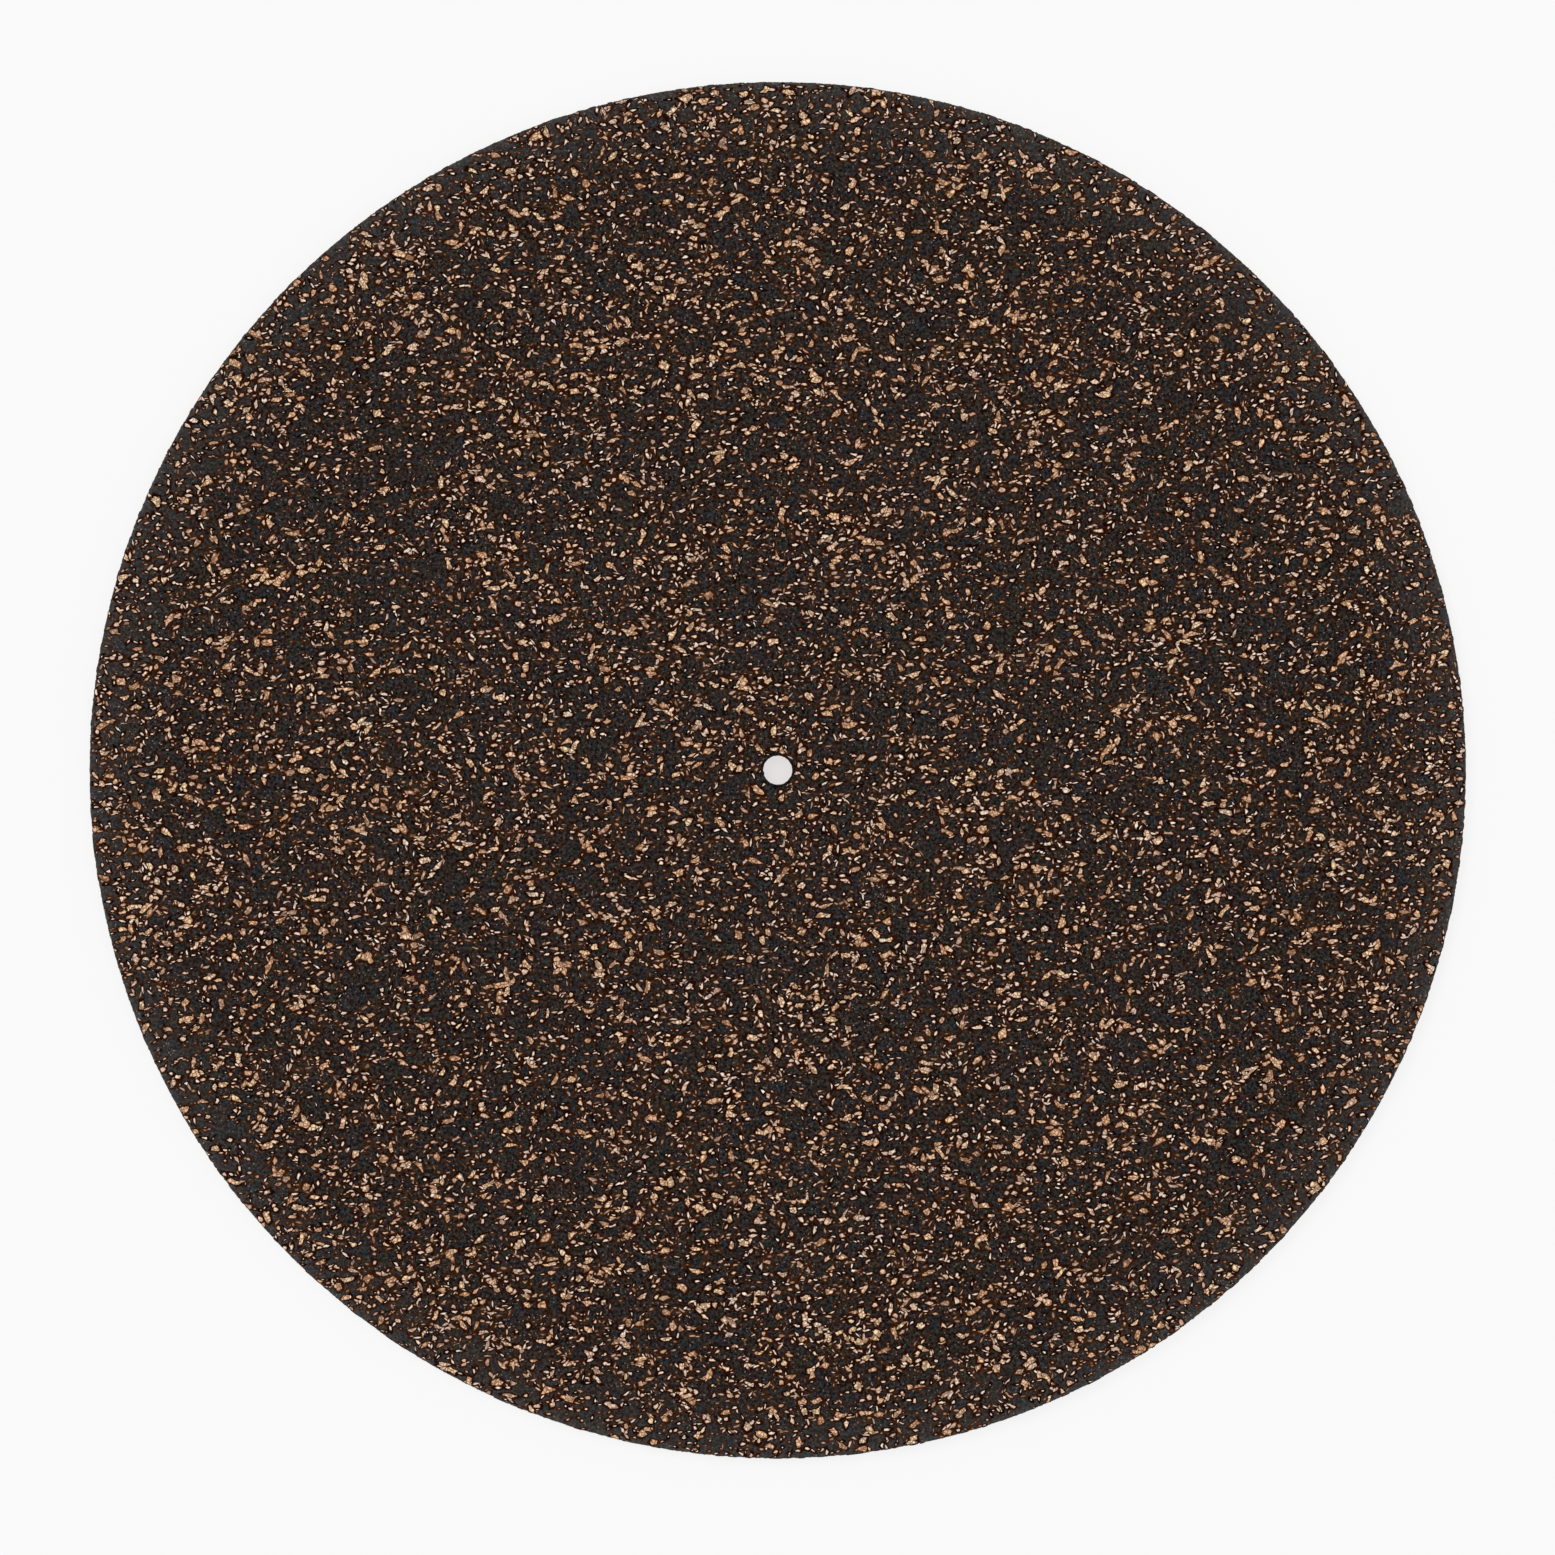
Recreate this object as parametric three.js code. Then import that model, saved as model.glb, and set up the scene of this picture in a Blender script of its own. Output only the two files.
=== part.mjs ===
// Platter mat for a record player: one flat disc, die-cut from a firm sheet of cork granules
// bound in black rubber, with a punched hole that drops over the platter's spindle.
// Millimetres, +Z up. The mat lies on its underside: the origin is there, at the centre of the
// hole, and +X runs along the grain of the sheet.
import * as THREE from "three";

// Driving sizes
const MAT_DIAMETER = 300; // carries a 12 inch record, which is 301.6 across, up to its edge
const MAT_THICKNESS = 3; // of the sheet
const SPINDLE_HOLE_DIAMETER = 7.2; // passes a spindle of 7.1
const RIM_EDGE_RADIUS = 0.3; // left by the blade on both edges of the rim
const HOLE_EDGE_RADIUS = 0.2; // left by the punch on both edges of the hole

// Facets
const FACETS_ROUND = 240; // round the mat
const FACETS_EDGE = 2; // across each softened edge

// Cork and rubber as the eye takes them together from a step away
const corkRubber = new THREE.MeshStandardMaterial({
  color: new THREE.Color("#483a33"),
  roughness: 0.9,
  metalness: 0,
});

// One quarter turn of the section, with its centre at (x, y): the soft edge between two faces.
function addSoftEdge(section, x, y, radius, startQuarter) {
  const start = (startQuarter * Math.PI) / 2;
  section.absarc(x, y, radius, start, start + Math.PI / 2, false);
}

// The mat cut from its hole out to its rim. It runs along the underside, up the rim, back over
// the top and down the wall of the hole, and closes on itself.
function matSection() {
  const rimX = MAT_DIAMETER / 2 - RIM_EDGE_RADIUS;
  const holeX = SPINDLE_HOLE_DIAMETER / 2 + HOLE_EDGE_RADIUS;
  const section = new THREE.Path();
  addSoftEdge(section, rimX, RIM_EDGE_RADIUS, RIM_EDGE_RADIUS, 3);
  addSoftEdge(section, rimX, MAT_THICKNESS - RIM_EDGE_RADIUS, RIM_EDGE_RADIUS, 0);
  addSoftEdge(section, holeX, MAT_THICKNESS - HOLE_EDGE_RADIUS, HOLE_EDGE_RADIUS, 1);
  addSoftEdge(section, holeX, HOLE_EDGE_RADIUS, HOLE_EDGE_RADIUS, 2);
  section.closePath();
  // An arc takes twice the divisions it is given, and a straight stretch takes one.
  return section.getPoints(FACETS_EDGE / 2);
}

// The section turned once about the axis of the hole, then laid flat
function platterMat() {
  const disc = new THREE.LatheGeometry(matSection(), FACETS_ROUND);
  disc.rotateX(Math.PI / 2);
  const mat = new THREE.Mesh(disc, corkRubber);
  mat.name = "platter_mat";
  return mat;
}

const part = new THREE.Group();
part.add(platterMat());

export default part;
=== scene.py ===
"""Looks of a record player's platter mat: cork granules set in a black rubber sheet.

The sheet is one mesh with the rough edges that the blade and the punch leave. The granules that
show on its two faces, on its rim and in the wall of its spindle hole are low grains sunk in it.
"""

import math

import bpy
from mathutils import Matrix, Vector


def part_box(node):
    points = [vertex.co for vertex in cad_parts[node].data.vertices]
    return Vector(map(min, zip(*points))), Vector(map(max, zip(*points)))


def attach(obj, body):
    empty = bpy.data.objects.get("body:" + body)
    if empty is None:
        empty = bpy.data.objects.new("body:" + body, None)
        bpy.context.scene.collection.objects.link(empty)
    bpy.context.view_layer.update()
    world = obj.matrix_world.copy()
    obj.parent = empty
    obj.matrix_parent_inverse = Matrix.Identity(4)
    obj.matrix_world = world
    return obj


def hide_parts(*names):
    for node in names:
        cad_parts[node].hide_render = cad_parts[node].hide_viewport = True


MM = 0.001
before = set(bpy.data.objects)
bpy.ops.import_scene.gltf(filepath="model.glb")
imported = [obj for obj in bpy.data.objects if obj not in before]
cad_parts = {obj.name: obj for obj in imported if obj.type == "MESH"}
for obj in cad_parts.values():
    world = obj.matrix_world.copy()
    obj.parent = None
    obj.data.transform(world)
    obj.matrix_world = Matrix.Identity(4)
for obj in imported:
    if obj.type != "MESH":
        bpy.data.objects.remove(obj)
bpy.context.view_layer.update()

# The mat, from the frame, with the hole and the soft edge that the CAD gives it
(MAT_LOW, MAT_HIGH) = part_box("platter_mat")
MAT_RADIUS = (MAT_HIGH[0] - MAT_LOW[0]) / 2
MAT_THICKNESS = MAT_HIGH[2] - MAT_LOW[2]
HOLE_RADIUS = 3.6 * MM
EDGE_RADIUS = 0.3 * MM

# The photograph's frame, straight from above, with the mat's circle in its pixels
PHOTO_SIDE = 1555
DISC_CENTRE_PX = (777.7, 770.1)
DISC_RADIUS_PX = 689.0
CAMERA_HEIGHT = 1.4

# The granules stand this much above the rubber, and their tops lie in the mat's own faces
GRANULE_RELIEF = 0.05 * MM
SHEET_RADIUS = MAT_RADIUS - GRANULE_RELIEF

# What the blade and the punch leave: walls with tears that fade out over a band beside each, and
# a fringe that narrows the hole
HOLE_FRINGE = 0.32 * MM
SHEET_HOLE = HOLE_RADIUS - HOLE_FRINGE
TEAR_DEPTH = 0.25 * MM
TEAR_SIZE = 0.8 * MM
RIM_BAND = 0.6 * MM
HOLE_BAND = 0.5 * MM
HOLE_TEAR_SHARE = 0.8

# Painted light on the rubber: a glow that pales it towards the rim, by (width, added tone), and
# painted shade that darkens it round the hole
RIM_PAINTED_GLOW_BANDS = ((16 * MM, 0.014), (2 * MM, 0.016))
HOLE_SHADE_WIDTH = 0.5 * MM
MATT_SPECULAR = 0.02

# Each cork granule has a rubber lip, lobes with cracks between them and a ragged edge, and the
# granules are warmer in some parts of the sheet than in others
LIP_WIDTH = 0.6 * MM
LOBE_SIZE = 0.8 * MM
RAGGED_SIZE = 0.6 * MM
WARM_PATCH = 7 * MM

# The way that granules lie on the faces. It is short, so that on the walls they lie round the mat
GRAIN_WAY = (0.01, 0.0011, 0.0)


def srgb(red, green, blue):
    """The linear colour of a screen colour from 0 to 255."""
    def linear(part):
        part /= 255
        return part / 12.92 if part <= 0.04045 else ((part + 0.055) / 1.055) ** 2.4
    return (linear(red), linear(green), linear(blue), 1.0)


class Nodes:
    """Adds nodes to a tree. An input is given as a value or as the output that feeds it."""

    def __init__(self, tree):
        self.tree = tree

    def put(self, socket, value):
        if isinstance(value, bpy.types.NodeSocket):
            self.tree.links.new(value, socket)
        else:
            socket.default_value = value

    def add(self, kind, inputs=None, **settings):
        node = self.tree.nodes.new(kind)
        for name, value in settings.items():
            setattr(node, name, value)
        for name, value in (inputs or {}).items():
            if isinstance(name, int):
                socket = node.inputs[name]
            else:
                socket = next(s for s in node.inputs if s.name == name and s.enabled)
            self.put(socket, value)
        return node

    def out(self, kind, inputs=None, **settings):
        """The first output in use of a new node."""
        node = self.add(kind, inputs, **settings)
        return next(s for s in node.outputs if s.enabled)

    def math(self, operation, *values, clamp=False):
        inputs = dict(enumerate(values))
        return self.out("ShaderNodeMath", inputs, operation=operation, use_clamp=clamp)

    def vector(self, operation, *values, output=0):
        node = self.add("ShaderNodeVectorMath", dict(enumerate(values)), operation=operation)
        return node.outputs[output]

    def scaled(self, vector, factor):
        return self.out("ShaderNodeVectorMath", {0: vector, "Scale": factor}, operation="SCALE")

    def split(self, vector):
        return self.add("ShaderNodeSeparateXYZ", {0: vector}).outputs

    def joined(self, x, y, z):
        return self.out("ShaderNodeCombineXYZ", {0: x, 1: y, 2: z})

    def thrice(self, value):
        """A vector or a grey of one value."""
        return self.joined(value, value, value)

    def remap(self, value, low, high, to_low=0.0, to_high=1.0, kind="LINEAR"):
        return self.out(
            "ShaderNodeMapRange",
            {"Value": value, "From Min": low, "From Max": high, "To Min": to_low, "To Max": to_high},
            interpolation_type=kind,
        )


def add_sockets(tree, inputs, outputs):
    """Gives a group its named sockets, each (name, kind, default)."""
    for name, kind, default in inputs:
        socket = tree.interface.new_socket(name, in_out="INPUT", socket_type="NodeSocket" + kind)
        if default is not None:
            socket.default_value = default
    for name, kind in outputs:
        tree.interface.new_socket(name, in_out="OUTPUT", socket_type="NodeSocket" + kind)


# Camera, floor and light


def add_camera():
    """Straight above, with the disc where the photograph has it."""
    metres_per_px = MAT_RADIUS / DISC_RADIUS_PX
    frame_width = PHOTO_SIDE * metres_per_px
    data = bpy.data.cameras.new("camera")
    data.sensor_width = 36
    data.sensor_fit = "HORIZONTAL"
    data.lens = data.sensor_width * CAMERA_HEIGHT / frame_width
    camera = bpy.data.objects.new("camera", data)
    middle = PHOTO_SIDE / 2
    camera.location = (
        (middle - DISC_CENTRE_PX[0]) * metres_per_px,
        (DISC_CENTRE_PX[1] - middle) * metres_per_px,
        MAT_HIGH[2] + CAMERA_HEIGHT,
    )
    bpy.context.scene.collection.objects.link(camera)
    bpy.context.scene.camera = camera


# The paper's tone, the darker tone that paints shade on it in the hole, and the share of its look
# that no light changes
PAPER = srgb(249, 249, 249)
PAPER_SHADE_IN_HOLE = srgb(230, 225, 224)
PAPER_SELF_SHARE = 0.88


def seen_share(nodes):
    """1 for a ray from the camera, or off or through glossy things, and 0 for one that lights."""
    path = nodes.add("ShaderNodeLightPath").outputs
    seen = nodes.math("MAXIMUM", path["Is Camera Ray"], path["Is Glossy Ray"])
    return nodes.math("MAXIMUM", seen, path["Is Transmission Ray"])


def add_floor():
    """White paper. Part of what the camera sees of it is its own even tone, and the rest is lit.

    The photograph shows next to no shadow round the mat, but the hole is a little dimmer. That
    dimness is painted shade: the paper's even tone is darker round the hole's axis.
    """
    material = bpy.data.materials.new("paper")
    material.use_nodes = True
    nodes = Nodes(material.node_tree)
    material.node_tree.nodes.clear()
    lit = nodes.out("ShaderNodeBsdfDiffuse", {"Color": PAPER})
    place = nodes.add("ShaderNodeTexCoord").outputs["Object"]
    from_axis = nodes.vector("LENGTH", place, output="Value")
    # Painted shade: the paper's even tone turns darker in the hole, and fades back out by twice its
    # radius
    shade_in_hole = nodes.remap(from_axis, HOLE_RADIUS, 2 * HOLE_RADIUS, 1.0, 0.0)
    tones = {0: shade_in_hole, 6: PAPER, 7: PAPER_SHADE_IN_HOLE}
    tone = nodes.out("ShaderNodeMix", tones, data_type="RGBA")
    even = nodes.out("ShaderNodeEmission", {"Color": tone, "Strength": 1.0})
    share = nodes.math("MULTIPLY", seen_share(nodes), PAPER_SELF_SHARE)
    shown = nodes.out("ShaderNodeMixShader", {0: share, 1: lit, 2: even})
    nodes.add("ShaderNodeOutputMaterial", {"Surface": shown})
    bpy.ops.mesh.primitive_plane_add(size=12)
    floor = bpy.context.object
    floor.name = "floor"
    floor.data.materials.append(material)


DOME_STRENGTH = 0.62
SUNS = (  # name, turn and height in degrees, share of the plain level, softness in degrees
    ("window_side", 140, 48, 0.30, 30),
    ("far_side", -35, 60, 0.10, 50),
)


def add_light():
    """A pale dome and two soft lamps, which together light a level face at strength 1."""
    world = bpy.data.worlds.new("studio")
    bpy.context.scene.world = world
    world.use_nodes = True
    world.node_tree.nodes.clear()
    nodes = Nodes(world.node_tree)
    tones = {0: seen_share(nodes), 6: (1, 1, 1, 1), 7: PAPER}
    tone = nodes.out("ShaderNodeMix", tones, data_type="RGBA")
    strength = nodes.remap(seen_share(nodes), 0, 1, DOME_STRENGTH, 1.0)
    background = nodes.out("ShaderNodeBackground", {"Color": tone, "Strength": strength})
    nodes.add("ShaderNodeOutputWorld", {"Surface": background})
    for name, turn, height, share, softness in SUNS:
        lamp = bpy.data.lights.new(name, "SUN")
        lamp.angle = math.radians(softness)
        lamp.energy = share * math.pi / math.sin(math.radians(height))
        sun = bpy.data.objects.new(name, lamp)
        sun.rotation_euler = (0, math.radians(90 - height), math.radians(turn))
        bpy.context.scene.collection.objects.link(sun)


# Shader groups that both materials use


def grit_group():
    """Fine grit on rubber and cork: a height for bump, and a mask of its hollows."""
    tree = bpy.data.node_groups.new("Grit", "ShaderNodeTree")
    add_sockets(
        tree,
        [("Place", "Vector", None), ("Grit Size", "Float", 0.3 * MM), ("Pits", "Float", 0.3)],
        [("Height", "Float"), ("Hollow", "Float")],
    )
    nodes = Nodes(tree)
    given = nodes.add("NodeGroupInput").outputs
    place = nodes.vector("DIVIDE", given["Place"], nodes.thrice(given["Grit Size"]))
    grains = nodes.out(
        "ShaderNodeTexNoise", {"Vector": place, "Scale": 1.0, "Detail": 3.0, "Roughness": 0.65}
    )
    pits = nodes.out("ShaderNodeTexVoronoi", {"Vector": place, "Scale": 0.8, "Randomness": 1.0})
    hollow = nodes.remap(pits, 0.35, 0.1, 0.0, 1.0, "SMOOTHSTEP")
    hollow = nodes.math("MULTIPLY", hollow, given["Pits"])
    height = nodes.math("SUBTRACT", grains, hollow)
    nodes.add("NodeGroupOutput", {"Height": height, "Hollow": hollow})
    return tree


def drift_group():
    """Slow drift in tone over a face, from the way the sheet was mixed and rolled."""
    tree = bpy.data.node_groups.new("Drift", "ShaderNodeTree")
    add_sockets(
        tree,
        [("Place", "Vector", None), ("Patch Size", "Float", 4 * MM), ("Seed", "Float", 0.0)],
        [("Drift", "Float")],
    )
    nodes = Nodes(tree)
    given = nodes.add("NodeGroupInput").outputs
    place = nodes.vector("DIVIDE", given["Place"], nodes.thrice(given["Patch Size"]))
    noise = nodes.out(
        "ShaderNodeTexNoise",
        {"Vector": place, "W": given["Seed"], "Scale": 1.0, "Detail": 2.0, "Roughness": 0.5},
        noise_dimensions="4D",
    )
    drift = nodes.remap(noise, 0.3, 0.7, 0.0, 1.0, "SMOOTHSTEP")
    nodes.add("NodeGroupOutput", {"Drift": drift})
    return tree


GRIT = grit_group()
DRIFT = drift_group()


def use_group(nodes, group, inputs):
    """The outputs of a group put into this tree."""
    node = nodes.add("ShaderNodeGroup", node_tree=group)
    for name, value in inputs.items():
        nodes.put(node.inputs[name], value)
    return node.outputs


def ramp(nodes, factor, stops):
    """A colour ramp through (position, screen colour) stops."""
    node = nodes.add("ShaderNodeValToRGB", {0: factor})
    band = node.color_ramp
    for position, colour in stops[2:]:
        band.elements.new(position)
    for element, (position, colour) in zip(sorted(band.elements, key=lambda e: e.position), stops):
        element.position = position
        element.color = srgb(*colour)
    return node.outputs["Color"]


def blend_colour(nodes, factor, first, second, kind="MIX"):
    """The first colour blended towards the second, or changed by it in another way."""
    mix = nodes.add(
        "ShaderNodeMix", {0: factor, 6: first, 7: second},
        data_type="RGBA", blend_type=kind, clamp_result=True,
    )
    return mix.outputs[2]


def new_surface(name):
    """A material with one Principled shader, and the nodes to dress it."""
    material = bpy.data.materials.new(name)
    material.use_nodes = True
    tree = material.node_tree
    tree.nodes.clear()
    nodes = Nodes(tree)
    shader = nodes.add("ShaderNodeBsdfPrincipled")
    nodes.add("ShaderNodeOutputMaterial", {"Surface": shader.outputs[0]})
    return material, nodes, shader


def finish_surface(nodes, shader, colour, roughness, height, strength, distance):
    """A matt finish with a bump of this strength and distance from this height."""
    nodes.put(shader.inputs["Base Color"], colour)
    nodes.put(shader.inputs["Roughness"], roughness)
    shader.inputs["Specular IOR Level"].default_value = MATT_SPECULAR
    bump = nodes.add("ShaderNodeBump", {"Strength": strength, "Distance": distance, "Height": height})
    nodes.put(shader.inputs["Normal"], bump.outputs[0])


def sheet_place(nodes):
    """Where a point lies in the sheet, with the lower half mirrored to the upper one."""
    place = nodes.add("ShaderNodeTexCoord").outputs["Object"]
    x, y, z = nodes.split(place)
    depth = nodes.math("ABSOLUTE", nodes.math("SUBTRACT", z, MAT_THICKNESS / 2))
    return nodes.joined(x, y, depth)


def rubber_group():
    """The colour and height of black rubber with cork dust in it, with painted light: a glow towards
    the rim and shade round the hole.
    """
    tree = bpy.data.node_groups.new("Dusty Rubber And Painted Light", "ShaderNodeTree")
    add_sockets(
        tree,
        [("Place", "Vector", None), ("Dust Size", "Float", 0.5 * MM), ("Dust Amount", "Float", 0.4)],
        [("Colour", "Color"), ("Height", "Float")],
    )
    nodes = Nodes(tree)
    given = nodes.add("NodeGroupInput").outputs
    place = given["Place"]
    grit = use_group(nodes, GRIT, {"Place": place, "Grit Size": 0.7 * MM, "Pits": 0.35})
    drift = use_group(nodes, DRIFT, {"Place": place, "Patch Size": 4 * MM, "Seed": 3.0})["Drift"]
    black = ramp(nodes, grit["Height"], [
        (0.2, (19, 8, 6)), (0.38, (30, 22, 19)), (0.5, (45, 41, 42)), (0.62, (71, 63, 61)),
    ])
    for patch, seed, cool, warm in (
        (2 * MM, 9.0, (214, 246, 255), (255, 228, 214)),
        (3 * MM, 14.0, (238, 243, 255), (255, 250, 222)),
    ):
        hue = use_group(nodes, DRIFT, {"Place": place, "Patch Size": patch, "Seed": seed})["Drift"]
        tint = ramp(nodes, hue, [(0.0, cool), (1.0, warm)])
        black = blend_colour(nodes, 1.0, black, tint, "MULTIPLY")

    # Specks of dust: a few cells each hold one, and more do where the rubber drifts dusty
    dust_place = nodes.vector("DIVIDE", place, nodes.thrice(given["Dust Size"]))
    cells = nodes.add("ShaderNodeTexVoronoi", {"Vector": dust_place, "Scale": 1.0}).outputs
    pick = nodes.split(cells["Color"])
    size = nodes.remap(pick[0], 0.0, 1.0, 0.12, 0.5)
    solid = nodes.math("MULTIPLY", size, 0.5)
    speck = nodes.remap(cells["Distance"], size, solid, 0.0, 1.0, "SMOOTHSTEP")
    amount = nodes.math("MULTIPLY", given["Dust Amount"], nodes.remap(drift, 0, 1, 0.4, 1.5))
    rare = nodes.math("SUBTRACT", 1.0, amount)
    speck = nodes.math("MULTIPLY", speck, nodes.math("GREATER_THAN", pick[1], rare))
    dust = ramp(nodes, pick[2], [(0.0, (58, 44, 36)), (0.45, (84, 66, 56)), (1.0, (132, 112, 100))])
    colour = blend_colour(nodes, speck, black, dust)

    # Painted light: a glow that makes it a little paler towards the rim, and most so along the cut
    # itself
    x, y, _ = nodes.split(place)
    from_axis = nodes.vector("LENGTH", nodes.joined(x, y, 0.0), output="Value")
    broad, narrow = (
        nodes.remap(from_axis, MAT_RADIUS - width, MAT_RADIUS, 0.0, added)
        for width, added in RIM_PAINTED_GLOW_BANDS
    )
    pale = nodes.math("ADD", broad, narrow)
    colour = blend_colour(nodes, 1.0, colour, nodes.thrice(pale), "ADD")

    # Painted shade: darker round the edge of the hole, where its wall falls into shade
    painted_hole_shade = nodes.remap(from_axis, HOLE_RADIUS, HOLE_RADIUS + HOLE_SHADE_WIDTH, 0.5, 1.0)
    colour = blend_colour(nodes, 1.0, colour, nodes.thrice(painted_hole_shade), "MULTIPLY")
    nodes.add("NodeGroupOutput", {"Colour": colour, "Height": grit["Height"]})
    return tree


DUSTY_RUBBER_AND_PAINTED_LIGHT = rubber_group()


def rubber_material():
    """Black rubber, slightly brown, with cork dust in it, a painted glow towards the rim and painted
    shade round the hole.
    """
    material, nodes, shader = new_surface("black_rubber")
    rubber = use_group(nodes, DUSTY_RUBBER_AND_PAINTED_LIGHT, {"Place": sheet_place(nodes), "Dust Amount": 0.38})
    height = rubber["Height"]
    roughness = nodes.remap(height, 0.2, 0.8, 0.8, 0.95)
    finish_surface(nodes, shader, rubber["Colour"], roughness, height, 0.35, 0.06 * MM)
    return material


def cork_material():
    """Cut cork, from dim brown through tan to cream, by each granule's own tone and warmth.

    The rubber laps over each granule's ragged edge, and dark cracks run through the big ones.
    """
    material, nodes, shader = new_surface("cut_cork")
    place = sheet_place(nodes)
    tone, warmth, margin, broken = (
        nodes.add("ShaderNodeAttribute", attribute_name=name).outputs["Fac"]
        for name in ("tone", "warmth", "margin", "broken")
    )
    pale = ramp(nodes, tone, [
        (0.0, (106, 86, 76)), (0.3, (177, 154, 141)), (0.65, (229, 206, 190)), (1.0, (249, 234, 219)),
    ])
    warm = ramp(nodes, tone, [
        (0.0, (130, 90, 63)), (0.3, (199, 152, 119)), (0.65, (242, 197, 157)), (1.0, (253, 222, 184)),
    ])
    colour = blend_colour(nodes, warmth, pale, warm)
    grit = use_group(nodes, GRIT, {"Place": place, "Grit Size": 0.3 * MM, "Pits": 0.9})
    mottle = nodes.remap(grit["Height"], 0.1, 0.7, 0.84, 1.12)
    lobed = nodes.out("ShaderNodeTexNoise", {"Vector": place, "Scale": 1 / LOBE_SIZE, "Detail": 1.0})
    lobed = nodes.remap(lobed, 0.35, 0.65, 0.78, 1.24)
    mottle = nodes.math("MULTIPLY", mottle, lobed)
    colour = blend_colour(nodes, 1.0, colour, nodes.thrice(mottle), "MULTIPLY")

    # Cracks between the lobes of a big granule
    lobes = nodes.out(
        "ShaderNodeTexVoronoi", {"Vector": place, "Scale": 1 / LOBE_SIZE}, feature="DISTANCE_TO_EDGE"
    )
    crack = nodes.remap(lobes, 0.2, 0.04, 0.0, 1.0, "SMOOTHSTEP")
    crack = nodes.math("MULTIPLY", crack, nodes.remap(broken, 0.2, 0.7, 0.0, 0.7))
    colour = blend_colour(nodes, crack, colour, srgb(52, 26, 14))

    # The ragged edge: cork, browner where it thins out, then a dark lip that fades into rubber
    ragged = nodes.out(
        "ShaderNodeTexNoise", {"Vector": place, "Scale": 1 / RAGGED_SIZE, "Detail": 2.0}
    )
    depth = nodes.remap(broken, 0.0, 1.0, 0.2 * MM, 0.9 * MM)
    ragged = nodes.math("MULTIPLY", nodes.math("SUBTRACT", ragged, 0.5), depth)
    past_edge = nodes.math("ADD", margin, ragged)
    browned = nodes.remap(past_edge, -0.15 * MM, 0.0, 0.0, 0.85, "SMOOTHSTEP")
    colour = blend_colour(nodes, browned, colour, srgb(118, 78, 48))
    # The rubber of the lips carries the same painted glow towards the rim and painted shade round the
    # hole
    rubber = use_group(nodes, DUSTY_RUBBER_AND_PAINTED_LIGHT, {"Place": place, "Dust Amount": 0.26})["Colour"]
    full_lip = nodes.remap(tone, 0.3, 0.9, 0.3 * MM, 0.47 * MM)
    lip_share = nodes.remap(margin, full_lip, LIP_WIDTH, 0.98, 0.0, "SMOOTHSTEP")
    dark = ramp(nodes, tone, [(0.1, (62, 34, 12)), (0.5, (45, 16, 1)), (0.9, (17, 2, 0))])
    lip = blend_colour(nodes, lip_share, rubber, dark)
    buried = nodes.remap(past_edge, -0.03 * MM, 0.04 * MM, 0.0, 1.0, "SMOOTHSTEP")
    colour = blend_colour(nodes, buried, colour, lip)
    roughness = nodes.remap(mottle, 0.6, 1.1, 0.95, 0.8)
    finish_surface(nodes, shader, colour, roughness, grit["Height"], 0.4, 0.05 * MM)
    return material


# Geometry by rule


def run_tree(name, tree, carrier, inputs):
    """A plain mesh object, from the tree run on a carrier mesh with these named inputs."""
    maker = bpy.data.objects.new(name + "_maker", carrier)
    bpy.context.scene.collection.objects.link(maker)
    modifier = maker.modifiers.new("make", "NODES")
    modifier.node_group = tree
    sockets = {s.name: s.identifier for s in tree.interface.items_tree if s.in_out == "INPUT"}
    for socket_name, value in inputs.items():
        modifier[sockets[socket_name]] = value
    made = maker.evaluated_get(bpy.context.evaluated_depsgraph_get())
    mesh = bpy.data.meshes.new_from_object(made)
    maker.modifiers.remove(modifier)
    bpy.data.objects.remove(maker)
    mesh.name = name
    piece = bpy.data.objects.new(name, mesh)
    bpy.context.scene.collection.objects.link(piece)
    return piece


def ring_band(first, second, steps=360):
    """A band from a first ring to a second, each (radius, height), with that way on its right."""
    mesh = bpy.data.meshes.new("carrier")
    points = []
    for step in range(steps):
        angle = 2 * math.pi * step / steps
        for radius, height in (first, second):
            points.append((radius * math.cos(angle), radius * math.sin(angle), height))
    faces = []
    for step in range(steps):
        near, far = 2 * step, 2 * ((step + 1) % steps)
        faces.append((near, near + 1, far + 1, far))
    mesh.from_pydata(points, [], faces)
    return mesh


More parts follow.
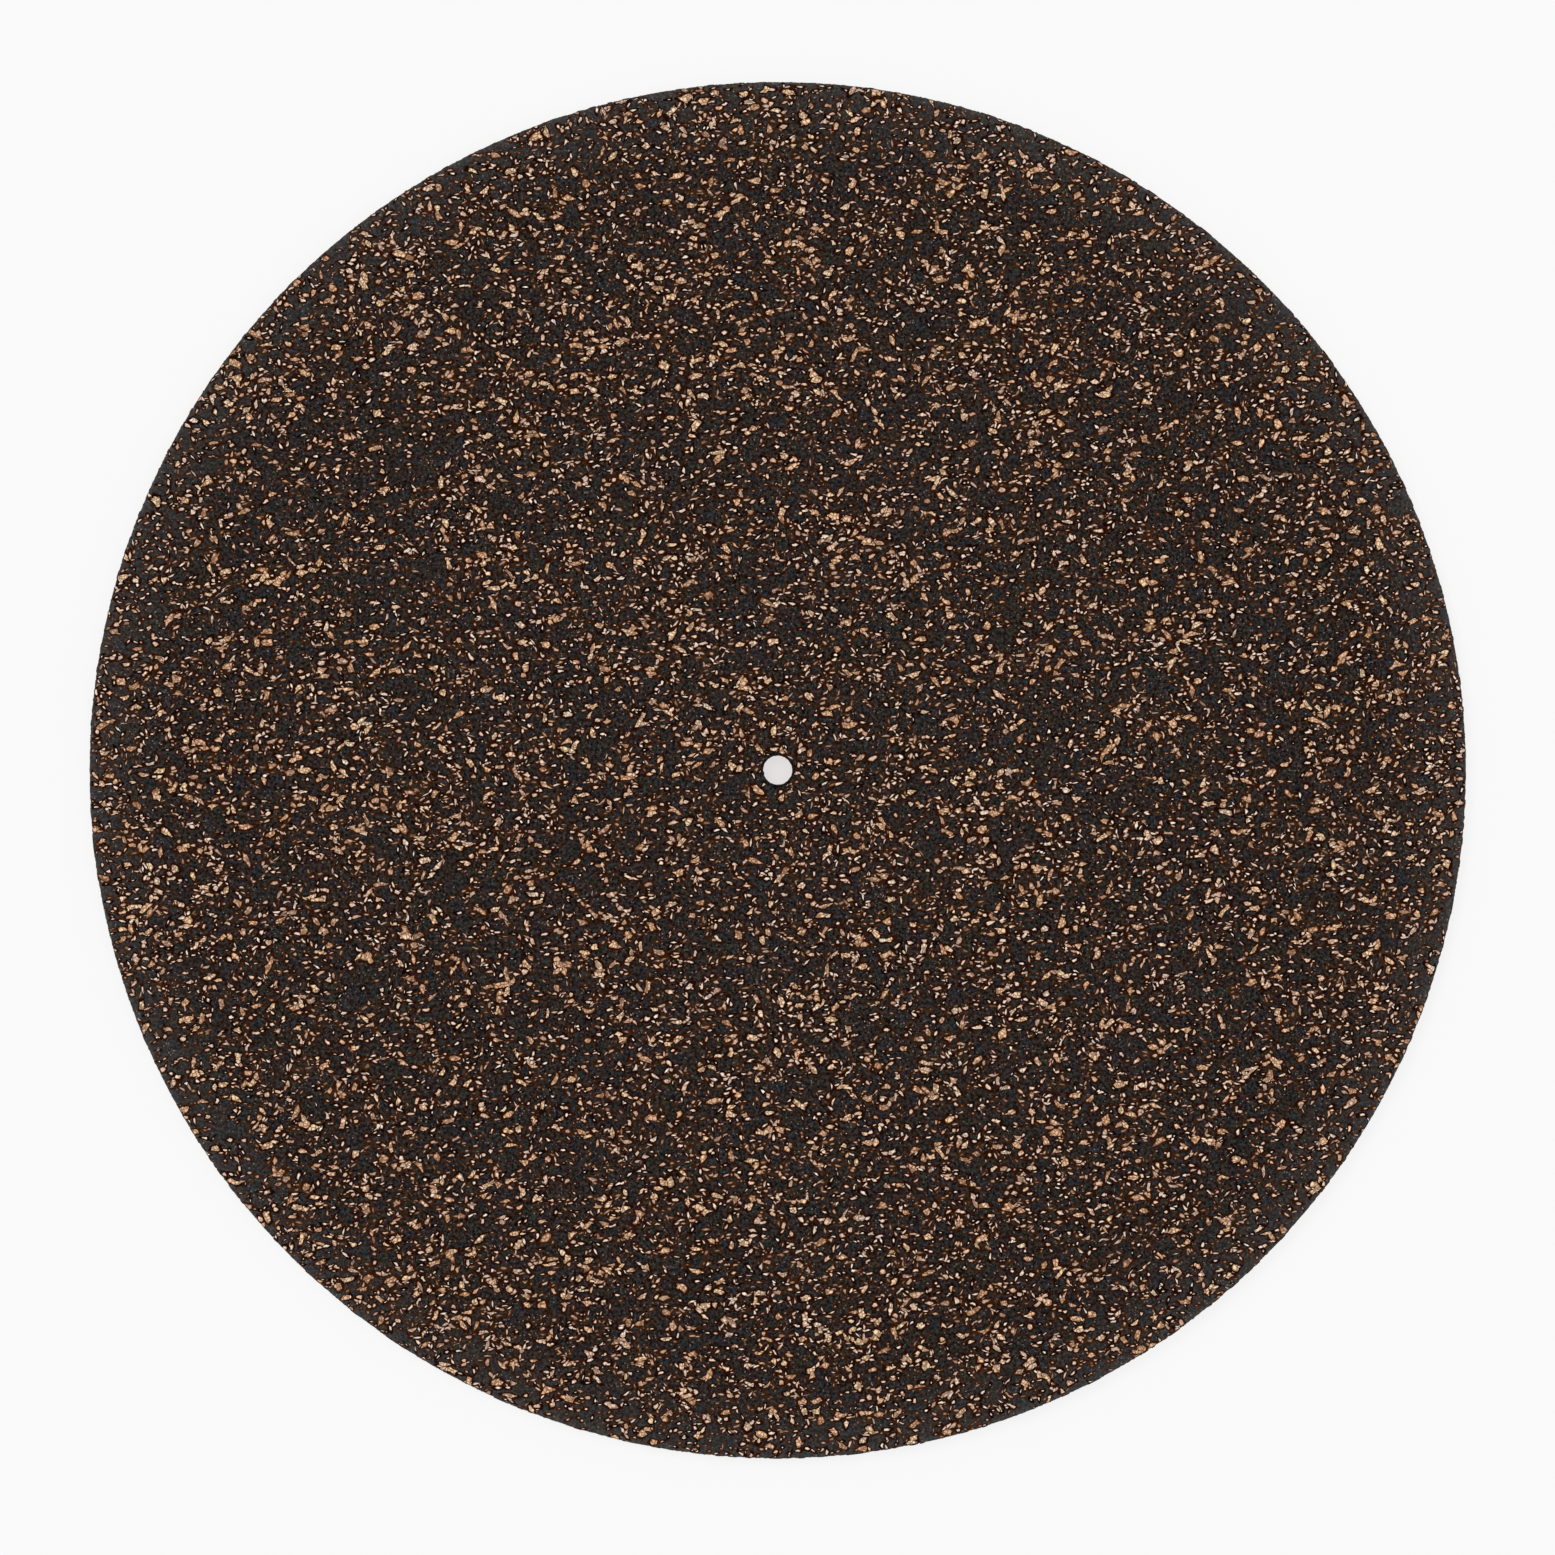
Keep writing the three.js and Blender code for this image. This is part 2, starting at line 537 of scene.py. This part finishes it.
def sheet_tree(material):
    """The sheet: its rounded section swept round the axis, then roughened where blades cut it."""
    tree = bpy.data.node_groups.new("CutSheet", "GeometryNodeTree")
    add_sockets(
        tree,
        [
            ("Geometry", "Geometry", None),
            ("Rim Radius", "Float", 0.15), ("Hole Radius", "Float", 0.0036),
            ("Thickness", "Float", 0.003), ("Mid Height", "Float", 0.0015),
            ("Edge Radius", "Float", 0.0003),
            ("Edge Steps", "Int", 3), ("Wall Step", "Float", 0.0005), ("Round Steps", "Int", 2600),
            ("Tear Depth", "Float", 0.0002), ("Tear Size", "Float", 0.001), ("Seed", "Float", 1.0),
            ("Map Radius", "Float", 0.152),
        ],
        [("Geometry", "Geometry")],
    )
    nodes = Nodes(tree)
    given = nodes.add("NodeGroupInput").outputs
    width = nodes.math("SUBTRACT", given["Rim Radius"], given["Hole Radius"])
    middle = nodes.math("MULTIPLY", nodes.math("ADD", given["Rim Radius"], given["Hole Radius"]), 0.5)
    section = nodes.out(
        "GeometryNodeCurvePrimitiveQuadrilateral", {"Width": width, "Height": given["Thickness"]}
    )
    section = nodes.out(
        "GeometryNodeFilletCurve",
        {"Curve": section, "Count": given["Edge Steps"], "Radius": given["Edge Radius"]},
        mode="POLY",
    )
    here = nodes.out("GeometryNodeInputPosition")
    index = nodes.out("GeometryNodeInputIndex")
    count = nodes.out("GeometryNodeAttributeDomainSize", {"Geometry": section}, component="CURVE")
    after = nodes.math("MODULO", nodes.math("ADD", index, 1), count)
    following = nodes.out(
        "GeometryNodeFieldAtIndex", {"Index": after, "Value": here}, data_type="FLOAT_VECTOR"
    )
    length = nodes.vector("DISTANCE", here, following, output="Value")
    cuts = nodes.math("FLOOR", nodes.math("DIVIDE", length, given["Wall Step"]))
    cuts = nodes.math("MULTIPLY", cuts, nodes.math("LESS_THAN", length, given["Thickness"]))
    section = nodes.out("GeometryNodeSubdivideCurve", {"Curve": section, "Cuts": cuts})
    path = nodes.out(
        "GeometryNodeCurvePrimitiveCircle", {"Resolution": given["Round Steps"], "Radius": middle}
    )
    sheet = nodes.out("GeometryNodeCurveToMesh", {"Curve": path, "Profile Curve": section})
    lifted = nodes.joined(0.0, 0.0, given["Mid Height"])
    sheet = nodes.out("GeometryNodeSetPosition", {"Geometry": sheet, "Offset": lifted})

    # Tears run down the walls: each moves in and out, and more in where a granule fell out
    place = nodes.out("GeometryNodeInputPosition")
    x, y, z = nodes.split(place)
    flat = nodes.joined(x, y, 0.0)
    radius = nodes.vector("LENGTH", flat, output="Value")
    away = nodes.vector("NORMALIZE", flat)
    upright = nodes.joined(x, y, nodes.math("MULTIPLY", z, 0.3))
    scaled = nodes.scaled(upright, nodes.math("DIVIDE", 1.0, given["Tear Size"]))
    waves = nodes.out(
        "ShaderNodeTexNoise",
        {"Vector": scaled, "W": given["Seed"], "Scale": 1.0, "Detail": 3.0, "Roughness": 0.6},
        noise_dimensions="4D",
    )
    waves = nodes.remap(waves, 0.25, 0.75, -1.0, 1.0)
    nicks = nodes.out(
        "ShaderNodeTexVoronoi", {"Vector": scaled, "W": given["Seed"], "Scale": 0.45},
        voronoi_dimensions="4D",
    )
    nicks = nodes.remap(nicks, 0.32, 0.1, 0.0, 1.0, "SMOOTHSTEP")
    rim_start = nodes.math("SUBTRACT", given["Rim Radius"], RIM_BAND)
    near_rim = nodes.remap(radius, rim_start, given["Rim Radius"], 0.0, 1.0, "SMOOTHSTEP")
    hole_start = nodes.math("ADD", given["Hole Radius"], HOLE_BAND)
    near_hole = nodes.remap(radius, hole_start, given["Hole Radius"], 0.0, 1.0, "SMOOTHSTEP")
    deeper = nodes.math("ADD", nodes.math("MULTIPLY", nicks, 0.9), 0.5)
    inward = nodes.math("MULTIPLY_ADD", waves, 0.5, deeper)
    inward = nodes.math("MULTIPLY", inward, given["Tear Depth"])
    rim_move = nodes.math("MULTIPLY", inward, nodes.math("MULTIPLY", near_rim, -1.0))
    hole_move = nodes.math("MULTIPLY", nodes.math("MULTIPLY", inward, near_hole), -HOLE_TEAR_SHARE)
    move = nodes.scaled(away, nodes.math("ADD", rim_move, hole_move))
    sheet = nodes.out("GeometryNodeSetPosition", {"Geometry": sheet, "Offset": move})

    # The map looks down on the sheet, with its walls laid out flat beyond its edges
    down = nodes.math("ABSOLUTE", nodes.math("SUBTRACT", z, given["Mid Height"]))
    down = nodes.math("SUBTRACT", nodes.math("MULTIPLY", given["Thickness"], 0.5), down)
    side = nodes.math("SIGN", nodes.math("SUBTRACT", radius, middle))
    laid = nodes.math("ADD", radius, nodes.math("MULTIPLY", down, side))
    laid = nodes.math("DIVIDE", laid, nodes.math("MULTIPLY", given["Map Radius"], 2.0))
    spot = nodes.vector("ADD", nodes.scaled(away, laid), (0.5, 0.5, 0.0))
    sheet = nodes.out(
        "GeometryNodeStoreNamedAttribute", {"Geometry": sheet, "Name": "OFBake", "Value": spot},
        data_type="FLOAT2", domain="CORNER",
    )
    sheet = nodes.out("GeometryNodeSetMaterial", {"Geometry": sheet, "Material": material})
    nodes.add("NodeGroupOutput", {0: sheet})
    return tree


# How each granule departs from a unit grain
SHOULDER_HEIGHT = 0.85  # of the full height, at the cork's edge
CORNER_MARKS = 64  # numbers round the grain, of which each corner takes one
MARKS_PER_GRANULE = 67.0  # more than the corner marks, so no two granules share a number
DRAW_IN = 1.3  # a corner is drawn in by up to this many times the ruggedness
SLIP = 0.6  # and slips sideways by up to this many
LEAST_LIFT = 0.5  # of the full height, for the flattest granule
MAP_REACH = 0.4  # of its square on the map, from the middle
WHOLE_RADIUS = 0.2 * MM  # a granule this small has no cracks
BROKEN_RADIUS = 1.0 * MM  # and one this big has them in full
WARM_NOISE_START = (7.0, 0.0, 0.0)  # keeps the warm regions apart from the bare ones


def granule_tree(material):
    """Granules strewn on a carrier: each a low faceted grain with its own outline, turn and tone."""
    tree = bpy.data.node_groups.new("CorkGranules", "GeometryNodeTree")
    add_sockets(
        tree,
        [
            ("Geometry", "Geometry", None),
            ("Per Square Metre", "Float", 1e5), ("Apart", "Float", 0.0005),
            ("Least Radius", "Float", 0.0002), ("Largest Radius", "Float", 0.001),
            ("Lip Width", "Float", 0.0005), ("Size Bias", "Float", 2.0),
            ("Stretch Least", "Float", 1.1), ("Stretch Most", "Float", 2.2),
            ("Grain Pull", "Float", 1.6), ("Corners", "Int", 7), ("Tiers", "Int", 2),
            ("Ruggedness", "Float", 0.35), ("Proud", "Float", 0.00005), ("Sunk", "Float", 0.00002),
            ("Patch Size", "Float", 0.005), ("Bareness", "Float", 0.5),
            ("Inner Limit", "Float", 0.0), ("Outer Limit", "Float", 1.0),
            ("Low Limit", "Float", -1.0), ("High Limit", "Float", 1.0),
            ("Tone Least", "Float", 0.0), ("Tone Most", "Float", 1.0),
            ("Warmth Least", "Float", 0.0), ("Warmth Most", "Float", 1.0),
            ("Warmth By Size", "Float", 0.5), ("Warmth Drift", "Float", 0.8),
            ("Map Cells", "Int", 100), ("Seed", "Int", 1),
        ],
        [("Geometry", "Geometry")],
    )
    nodes = Nodes(tree)
    given = nodes.add("NodeGroupInput").outputs
    seed = given["Seed"]

    def draw(low, high, step, ident=None):
        """A random number for each granule, or for each ident. Each use has a step of its own."""
        inputs = {"Min": low, "Max": high, "Seed": nodes.math("ADD", seed, step)}
        if ident is not None:
            inputs["ID"] = ident
        return nodes.out("FunctionNodeRandomValue", inputs, data_type="FLOAT")

    def keep(geometry, name, value, kind="FLOAT", domain="POINT"):
        """The geometry with a named value stored on it."""
        return nodes.out(
            "GeometryNodeStoreNamedAttribute",
            {"Geometry": geometry, "Name": name, "Value": value},
            data_type=kind, domain=domain,
        )

    def kept(name, kind="FLOAT"):
        return nodes.out("GeometryNodeInputNamedAttribute", {"Name": name}, data_type=kind)

    # Hearts of the granules, thinned out in the bare patches
    strewn = nodes.add(
        "GeometryNodeDistributePointsOnFaces",
        {
            "Mesh": given["Geometry"], "Distance Min": given["Apart"],
            "Density Max": given["Per Square Metre"], "Seed": seed,
        },
        distribute_method="POISSON",
    )
    hearts = strewn.outputs["Points"]
    place = nodes.out("GeometryNodeInputPosition")
    drift = nodes.out(
        "ShaderNodeTexNoise",
        {
            "Vector": nodes.scaled(place, nodes.math("DIVIDE", 1.0, given["Patch Size"])),
            "Scale": 1.0, "Detail": 3.0, "Roughness": 0.75,
        },
    )
    chance = nodes.remap(drift, 0.35, 0.6, given["Bareness"], 0.0, "SMOOTHSTEP")
    bare = nodes.math("LESS_THAN", draw(0.0, 1.0, 11), chance)
    hearts = keep(hearts, "out", strewn.outputs["Normal"], "FLOAT_VECTOR")
    hearts = nodes.out(
        "GeometryNodeDeleteGeometry", {"Geometry": hearts, "Selection": bare}, domain="POINT"
    )

    # What each granule carries with it
    grown = nodes.math("POWER", draw(0.0, 1.0, 1), given["Size Bias"])
    cork_radius = nodes.remap(grown, 0.0, 1.0, given["Least Radius"], given["Largest Radius"])
    hearts = keep(hearts, "heart", place, "FLOAT_VECTOR")
    hearts = keep(hearts, "cork_radius", cork_radius)
    hearts = keep(hearts, "cell", nodes.out("GeometryNodeInputIndex"), "INT")
    hearts = keep(hearts, "tone", draw(given["Tone Least"], given["Tone Most"], 2))
    warmth = draw(given["Warmth Least"], given["Warmth Most"], 3)
    warmth = nodes.math("MULTIPLY_ADD", grown, given["Warmth By Size"], warmth)
    region = nodes.vector("ADD", nodes.scaled(place, 1 / WARM_PATCH), WARM_NOISE_START)
    region = nodes.out("ShaderNodeTexNoise", {"Vector": region, "Scale": 1.0, "Detail": 2.0})
    region = nodes.remap(region, 0.3, 0.7, -0.5, 0.5)
    warmth = nodes.math("MULTIPLY_ADD", region, given["Warmth Drift"], warmth, clamp=True)
    hearts = keep(hearts, "warmth", warmth)
    hearts = keep(hearts, "broken", nodes.remap(cork_radius, WHOLE_RADIUS, BROKEN_RADIUS))

    # Turned flat on the carrier, and most of them along the grain of the sheet
    out_way = kept("out", "FLOAT_VECTOR")
    along = nodes.vector("CROSS_PRODUCT", (0.0, 0.0, 1.0), out_way)
    along = nodes.vector("ADD", along, GRAIN_WAY)
    turned = nodes.out("FunctionNodeAlignRotationToVector", {"Vector": out_way}, axis="Z")
    turned = nodes.out(
        "FunctionNodeAlignRotationToVector", {"Rotation": turned, "Vector": along},
        axis="X", pivot_axis="Z",
    )
    swing = draw(-1.0, 1.0, 4)
    lean = nodes.math("POWER", nodes.math("ABSOLUTE", swing), given["Grain Pull"])
    lean = nodes.math("MULTIPLY", lean, nodes.math("SIGN", swing))
    lean = nodes.math("MULTIPLY", lean, math.pi / 2)
    spin = nodes.out("FunctionNodeEulerToRotation", {0: nodes.joined(0.0, 0.0, lean)})
    turned = nodes.out(
        "FunctionNodeRotateRotation", {"Rotation": turned, "Rotate By": spin}, rotation_space="LOCAL"
    )
    stretch = nodes.math("SQRT", draw(given["Stretch Least"], given["Stretch Most"], 5))
    cork_radius = kept("cork_radius")
    reach = nodes.math("ADD", cork_radius, given["Lip Width"])
    length = nodes.math("MULTIPLY", reach, stretch)
    size = nodes.joined(length, nodes.math("DIVIDE", reach, stretch), 1.0)

    # One grain of unit radius: tiers of corners below a middle point. The corners are numbered by
    # their turn, which is shifted a little so that none lies on the seam
    cone = nodes.out(
        "GeometryNodeMeshCone",
        {
            "Vertices": given["Corners"], "Side Segments": given["Tiers"],
            "Radius Top": 0.0, "Radius Bottom": 1.0, "Depth": 1.0,
        },
        fill_type="NGON",
    )
    spot = nodes.out("GeometryNodeInputPosition")
    sx, sy, _ = nodes.split(spot)
    level = nodes.vector("LENGTH", nodes.joined(sx, sy, 0.0), output="Value")
    cone = keep(cone, "level", level)
    turn = nodes.math("DIVIDE", nodes.math("ARCTAN2", sy, sx), 2 * math.pi)
    turn = nodes.math("FRACT", nodes.math("ADD", turn, 1.02))
    corner = nodes.math("ROUND", nodes.math("MULTIPLY", turn, CORNER_MARKS))
    cone = keep(cone, "corner", corner, "INT")
    cone = keep(cone, "unit_spot", nodes.joined(sx, sy, 0.0), "FLOAT_VECTOR")
    level = kept("level")
    shoulder = nodes.math("MULTIPLY", given["Proud"], SHOULDER_HEIGHT)
    inner_z = nodes.remap(level, 0.0, 0.5, given["Proud"], shoulder)
    outer_z = nodes.remap(level, 0.5, 1.0, 0.0, nodes.math("ADD", shoulder, given["Sunk"]))
    top_z = nodes.math("SUBTRACT", inner_z, outer_z)
    lowered = nodes.joined(sx, sy, top_z)
    cone = nodes.out("GeometryNodeSetPosition", {"Geometry": cone, "Position": lowered})

    laid = nodes.out(
        "GeometryNodeInstanceOnPoints",
        {"Points": hearts, "Instance": cone, "Rotation": turned, "Scale": size},
    )
    grains = nodes.out("GeometryNodeRealizeInstances", {"Geometry": laid})

    # The middle ring of corners lies at the cork's edge, and the outer one at the end of the lip
    cork_share = nodes.math("DIVIDE", cork_radius, reach)
    inner_level = nodes.math("MINIMUM", level, 0.5)
    within = nodes.math("MULTIPLY", nodes.math("MULTIPLY", cork_share, 2.0), inner_level)
    beyond = nodes.remap(level, 0.5, 1.0, 0.0, nodes.math("SUBTRACT", 1.0, cork_share))
    way_out = nodes.math("ADD", within, beyond)
    grow = nodes.math("DIVIDE", way_out, nodes.math("MAXIMUM", level, 0.001))
    margin = nodes.math("MULTIPLY", nodes.math("SUBTRACT", way_out, cork_share), reach)
    grains = keep(grains, "margin", margin)

    # Each corner drawn in or pushed out by its own amount
    heart = kept("heart", "FLOAT_VECTOR")
    cell = kept("cell", "INT")
    ident = nodes.math("MULTIPLY_ADD", cell, MARKS_PER_GRANULE, kept("corner", "INT"))
    from_heart = nodes.vector("SUBTRACT", place, heart)
    lift = nodes.vector("DOT_PRODUCT", from_heart, out_way, output="Value")
    raised = nodes.scaled(out_way, lift)
    level_part = nodes.scaled(nodes.vector("SUBTRACT", from_heart, raised), grow)
    rugged = given["Ruggedness"]
    least = nodes.math("SUBTRACT", 1.0, nodes.math("MULTIPLY", rugged, DRAW_IN))
    push = draw(least, nodes.math("ADD", 1.0, rugged), 6, ident)
    sideways = nodes.vector("CROSS_PRODUCT", out_way, level_part)
    slip = nodes.math("MULTIPLY", draw(-SLIP, SLIP, 7, ident), rugged)
    moved = nodes.vector("ADD", nodes.scaled(level_part, push), nodes.scaled(sideways, slip))
    uneven = draw(LEAST_LIFT, 1.0, 8, cell)
    moved = nodes.vector("ADD", moved, nodes.scaled(raised, uneven))
    ready = nodes.vector("ADD", heart, moved)

    # Cut flush where the sheet ends
    px, py, pz = nodes.split(ready)
    radius = nodes.vector("LENGTH", nodes.joined(px, py, 0.0), output="Value")
    bounded = nodes.math("MAXIMUM", radius, given["Inner Limit"])
    bounded = nodes.math("MINIMUM", bounded, given["Outer Limit"])
    drawn = nodes.math("DIVIDE", bounded, nodes.math("MAXIMUM", radius, 0.0001))
    pz = nodes.math("MINIMUM", nodes.math("MAXIMUM", pz, given["Low Limit"]), given["High Limit"])
    ready = nodes.joined(nodes.math("MULTIPLY", px, drawn), nodes.math("MULTIPLY", py, drawn), pz)
    grains = nodes.out("GeometryNodeSetPosition", {"Geometry": grains, "Position": ready})

    # Each granule has a square of its own on the map
    cells = given["Map Cells"]
    column = nodes.math("MODULO", cell, cells)
    row = nodes.math("FLOOR", nodes.math("DIVIDE", cell, cells))
    ux, uy, _ = nodes.split(kept("unit_spot", "FLOAT_VECTOR"))

    def on_map(square, unit):
        """Where a corner falls along one side of the map."""
        within_square = nodes.math("MULTIPLY_ADD", unit, MAP_REACH, 0.5)
        return nodes.math("DIVIDE", nodes.math("ADD", square, within_square), cells)

    spot = nodes.joined(on_map(column, ux), on_map(row, uy), 0.0)
    grains = keep(grains, "OFBake", spot, "FLOAT2", "CORNER")
    grains = nodes.out("GeometryNodeSetShadeSmooth", {"Geometry": grains, "Shade Smooth": False})
    grains = nodes.out("GeometryNodeSetMaterial", {"Geometry": grains, "Material": material})
    nodes.add("NodeGroupOutput", {0: grains})
    return tree


def wear(piece):
    """The piece moves with the mat's one body."""
    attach(piece, "root")


MAKING_ONLY = ("heart", "cork_radius", "cell", "out", "corner", "unit_spot", "level", "id")


def drop_making(mesh):
    """Drops what only the making of the granules needed, with the cone's empty material slot."""
    for name in MAKING_ONLY:
        if name in mesh.attributes:
            mesh.attributes.remove(mesh.attributes[name])
    mesh.materials.pop(index=0)


def add_sheet():
    """The rubber sheet, which stands for the mat's solid."""
    carrier = bpy.data.meshes.new("carrier")
    piece = run_tree("rubber_sheet", sheet_tree(rubber_material()), carrier, {
        "Rim Radius": SHEET_RADIUS, "Hole Radius": SHEET_HOLE,
        "Thickness": MAT_THICKNESS - 2 * GRANULE_RELIEF, "Mid Height": MAT_THICKNESS / 2,
        "Edge Radius": EDGE_RADIUS, "Tear Depth": TEAR_DEPTH, "Tear Size": TEAR_SIZE,
        "Map Radius": MAT_RADIUS + MAT_THICKNESS,
    })
    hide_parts("platter_mat")
    wear(piece)


# The two sorts of granule, whose sizes leave out the lip round each
COARSE = {
    "Per Square Metre": 1.36e5, "Apart": 0.7 * MM,
    "Least Radius": 0.4 * MM, "Largest Radius": 0.97 * MM, "Size Bias": 1.75, "Lip Width": LIP_WIDTH,
    "Stretch Least": 1.2, "Stretch Most": 2.8, "Grain Pull": 2.0,
    "Corners": 7, "Tiers": 2, "Ruggedness": 0.42, "Proud": GRANULE_RELIEF, "Sunk": 0.002 * MM,
    "Patch Size": 14 * MM, "Bareness": 0.62, "Tone Least": 0.32, "Tone Most": 0.83,
    "Warmth Least": -0.25, "Warmth Most": 0.5, "Warmth By Size": 1.2, "Map Cells": 90,
}
FINE = {
    "Per Square Metre": 5.0e5, "Apart": 0.42 * MM,
    "Least Radius": 0.18 * MM, "Largest Radius": 0.455 * MM, "Size Bias": 1.3, "Lip Width": LIP_WIDTH,
    "Stretch Least": 1.4, "Stretch Most": 3.9, "Grain Pull": 2.0,
    "Corners": 5, "Tiers": 1, "Ruggedness": 0.4, "Proud": 0.7 * GRANULE_RELIEF, "Sunk": 0.001 * MM,
    "Patch Size": 8 * MM, "Bareness": 0.6, "Tone Least": 0.06, "Tone Most": 0.94,
    "Warmth Least": -0.4, "Warmth Most": 0.3, "Warmth By Size": 0.3, "Map Cells": 165,
}

# What differs on the faces, on the rim and in the wall of the hole. The limits keep every corner
# of a granule on the sheet, and let those in the hole stand a little further in than the rubber
FACE = {"Inner Limit": HOLE_RADIUS + 0.15 * MM, "Outer Limit": MAT_RADIUS - 0.35 * MM}
WALL = {
    "Low Limit": EDGE_RADIUS, "High Limit": MAT_THICKNESS - EDGE_RADIUS,
    "Sunk": 0.5 * MM, "Bareness": 0.3,
}
RIM = {**WALL, "Outer Limit": MAT_RADIUS, "Map Cells": 40}
BORE = {
    **WALL, "Inner Limit": SHEET_HOLE - 0.2 * MM,
    "Largest Radius": 0.5 * MM, "Map Cells": 8,
}


def add_granules():
    """The granules that show on the two faces, on the rim and in the wall of the hole."""
    tree = granule_tree(cork_material())
    low, high = GRANULE_RELIEF, MAT_THICKNESS - GRANULE_RELIEF
    inner, outer = HOLE_RADIUS, MAT_RADIUS - EDGE_RADIUS
    rim, bore = SHEET_RADIUS, SHEET_HOLE - 0.1 * MM
    places = (  # name, first and second ring of the carrier, seed, what differs there
        ("top", (inner, high), (outer, high), 10, FACE),
        ("under", (outer, low), (inner, low), 50, FACE),
        ("rim", (rim, high), (rim, low), 90, RIM),
        ("bore", (bore, low), (bore, high), 130, BORE),
    )
    for place, first, second, seed, changes in places:
        for size, sort, step in (("coarse", COARSE, 0), ("fine", FINE, 20)):
            inputs = {**sort, **changes, "Seed": seed + step}
            piece = run_tree(f"{place}_{size}_cork", tree, ring_band(first, second), inputs)
            drop_making(piece.data)
            wear(piece)


add_camera()
add_floor()
add_light()
add_sheet()
add_granules()

bpy.context.scene.view_settings.view_transform = "Standard"
